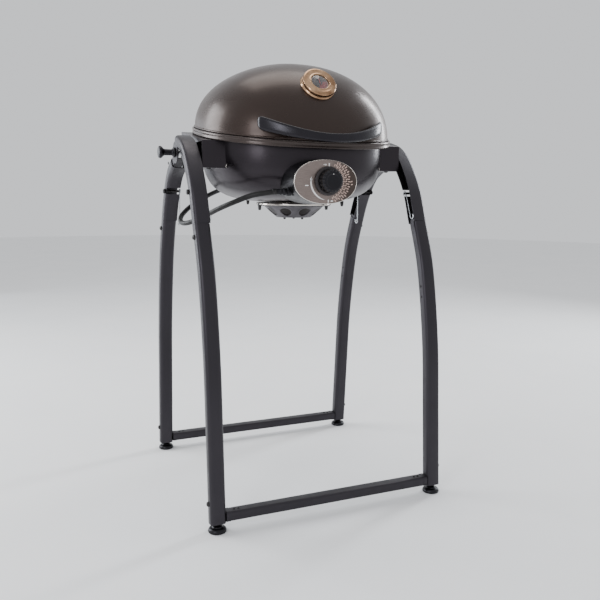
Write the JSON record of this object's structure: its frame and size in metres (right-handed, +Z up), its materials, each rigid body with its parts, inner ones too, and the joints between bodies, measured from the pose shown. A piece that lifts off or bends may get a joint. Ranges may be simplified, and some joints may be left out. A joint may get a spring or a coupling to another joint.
{
  "type": "charbroiler grill",
  "caption": "Portable gas barbecue: domed lid and deep bowl with a knob panel, slung between folding arched legs with floor bars.",
  "frame": {"origin": "on the floor, midway between the four feet", "axes": "+Z up; -Y is the cook's side, with the knob and the lid's handle; +X is to the cook's right"},
  "size_m": [0.6526, 0.56, 1.0205],
  "materials": {
    "lid_enamel": "satin",
    "bowl_enamel": "satin",
    "handle_plastic": "satin",
    "copper_chrome": "polished",
    "dial_face": "matte",
    "needle_red": "satin",
    "clear_glass": "clear",
    "fascia_metal": "brushed",
    "black_plastic": "satin",
    "brass": "machined",
    "stand_coat": "powder coat",
    "zinc_steel": "zinc plated",
    "cast_iron": "seasoned",
    "cast_aluminium": "as cast",
    "burner_steel": "heat stained",
    "hose_rubber": "matte",
    "ceramic": null
  },
  "bodies": {
    "grill_head": {"bowl": "bowl_enamel", "side_cradle_left": "bowl_enamel", "side_cradle_right": "bowl_enamel", "hub_pin_left": "zinc_steel", "hub_pin_right": "zinc_steel", "control_housing": "black_plastic", "control_fascia": "fascia_metal", "gas_valve": "brass", "gas_inlet_fitting": "black_plastic", "gas_hose": "hose_rubber", "hose_nut": "brass", "gas_regulator": "cast_aluminium", "regulator_clip": "zinc_steel", "burner_ring": "burner_steel", "burner_venturi": "burner_steel", "ignition_electrode": "ceramic", "flame_tamer": "burner_steel", "cup_plate": "cast_aluminium", "rear_hinge_bracket": "bowl_enamel", "hinge_pin": "zinc_steel"},
    "lid_assembly": {"lid": "lid_enamel", "lid_hinge_leaf": "lid_enamel", "lid_handle": "handle_plastic", "handle_post_left": "handle_plastic", "handle_post_right": "handle_plastic", "thermometer_bezel": "copper_chrome", "thermometer_dial": "dial_face", "thermometer_glass": "clear_glass", "thermometer_probe": "burner_steel"},
    "temperature_needle": {"thermometer_needle": "needle_red"},
    "knob_stem": {"valve_stem": "zinc_steel"},
    "burner_knob": {"control_knob": "black_plastic"},
    "left_grate": {"cooking_grate_left": "cast_iron"},
    "right_grate": {"cooking_grate_right": "cast_iron"},
    "drip_cup": {"grease_cup": "cast_aluminium"},
    "front_frame": {"leg_channel_front_left": "stand_coat", "leg_channel_front_right": "stand_coat", "leg_tube_front_left": "stand_coat", "leg_tube_front_right": "stand_coat", "floor_bar_front": "stand_coat", "cross_pin_front_left": "zinc_steel", "cross_pin_front_right": "zinc_steel"},
    "rear_frame": {"leg_channel_rear_left": "stand_coat", "leg_channel_rear_right": "stand_coat", "leg_tube_rear_left": "stand_coat", "leg_tube_rear_right": "stand_coat", "floor_bar_rear": "stand_coat", "cross_pin_rear_left": "zinc_steel", "cross_pin_rear_right": "zinc_steel"},
    "left_clamp": {"clamp_knob_left": "black_plastic"},
    "right_clamp": {"clamp_knob_right": "black_plastic"},
    "foot_front_left_turner": {"foot_front_left": "black_plastic"},
    "hook_front_left": {"wire_hook_front_left": "zinc_steel"},
    "foot_front_right_turner": {"foot_front_right": "black_plastic"},
    "hook_front_right": {"wire_hook_front_right": "zinc_steel"},
    "foot_rear_left_turner": {"foot_rear_left": "black_plastic"},
    "hook_rear_left": {"wire_hook_rear_left": "zinc_steel"},
    "foot_rear_right_turner": {"foot_rear_right": "black_plastic"},
    "hook_rear_right": {"wire_hook_rear_right": "zinc_steel"}
  },
  "joints": [
    {"name": "lid_hinge", "type": "hinge", "parent": "grill_head", "child": "lid_assembly", "pos_m": [0, 0.2312, 0.9], "axis": [-1, 0, 0], "range_deg": [0, 95]},
    {"name": "temperature_needle_turn", "type": "hinge", "parent": "lid_assembly", "child": "temperature_needle", "pos_m": [-0.004, -0.178, 0.961], "axis": [0, -0.809, 0.5878], "range_deg": [-270, 0]},
    {"name": "knob_press", "type": "slide", "parent": "grill_head", "child": "knob_stem", "axis": [0, 1, 0], "range_m": [0, 0.003], "stiffness_N_per_m": 800, "springref_m": -0.002},
    {"name": "knob_turn", "type": "hinge", "parent": "knob_stem", "child": "burner_knob", "pos_m": [-0.0105, -0.242, 0.7455], "axis": [0, 1, 0], "range_deg": [-270, 0]},
    {"name": "left_grate_lift", "type": "slide", "parent": "grill_head", "child": "left_grate", "axis": [0, 0, 1], "range_m": [0, 0.05]},
    {"name": "right_grate_lift", "type": "slide", "parent": "grill_head", "child": "right_grate", "axis": [0, 0, 1], "range_m": [0, 0.05]},
    {"name": "drip_cup_drop", "type": "slide", "parent": "grill_head", "child": "drip_cup", "axis": [0, 0, -1], "range_m": [0, 0.05]},
    {"name": "front_frame_fold", "type": "hinge", "parent": "grill_head", "child": "front_frame", "pos_m": [0, 0, 0.808], "axis": [1, 0, 0], "range_deg": [0, 15]},
    {"name": "rear_frame_fold", "type": "hinge", "parent": "grill_head", "child": "rear_frame", "pos_m": [0, 0, 0.808], "axis": [-1, 0, 0], "range_deg": [0, 15]},
    {"name": "left_clamp_turn", "type": "hinge", "parent": "grill_head", "child": "left_clamp", "pos_m": [-0.3, 0, 0.808], "axis": [-1, 0, 0], "range_deg": [0, 180]},
    {"name": "right_clamp_turn", "type": "hinge", "parent": "grill_head", "child": "right_clamp", "pos_m": [0.3, 0, 0.808], "axis": [1, 0, 0], "range_deg": [0, 180]},
    {"name": "foot_front_left_turn", "type": "hinge", "parent": "front_frame", "child": "foot_front_left_turner", "pos_m": [-0.27, -0.26, 0], "axis": [0, 0, 1], "range_deg": [-180, 180]},
    {"name": "hook_front_left_swing", "type": "hinge", "parent": "front_frame", "child": "hook_front_left", "pos_m": [-0.2508, -0.1255, 0.7192], "axis": [-1, 0, 0], "range_deg": [0, 3]},
    {"name": "foot_front_right_turn", "type": "hinge", "parent": "front_frame", "child": "foot_front_right_turner", "pos_m": [0.27, -0.26, 0], "axis": [0, 0, 1], "range_deg": [-180, 180]},
    {"name": "hook_front_right_swing", "type": "hinge", "parent": "front_frame", "child": "hook_front_right", "pos_m": [0.2508, -0.1255, 0.7192], "axis": [-1, 0, 0], "range_deg": [0, 3]},
    {"name": "foot_rear_left_turn", "type": "hinge", "parent": "rear_frame", "child": "foot_rear_left_turner", "pos_m": [-0.27, 0.26, 0], "axis": [0, 0, 1], "range_deg": [-180, 180]},
    {"name": "hook_rear_left_swing", "type": "hinge", "parent": "rear_frame", "child": "hook_rear_left", "pos_m": [-0.2508, 0.116, 0.7192], "axis": [1, 0, 0], "range_deg": [0, 40]},
    {"name": "foot_rear_right_turn", "type": "hinge", "parent": "rear_frame", "child": "foot_rear_right_turner", "pos_m": [0.27, 0.26, 0], "axis": [0, 0, 1], "range_deg": [-180, 180]},
    {"name": "hook_rear_right_swing", "type": "hinge", "parent": "rear_frame", "child": "hook_rear_right", "pos_m": [0.2508, 0.116, 0.7192], "axis": [1, 0, 0], "range_deg": [0, 40]}
  ]
}
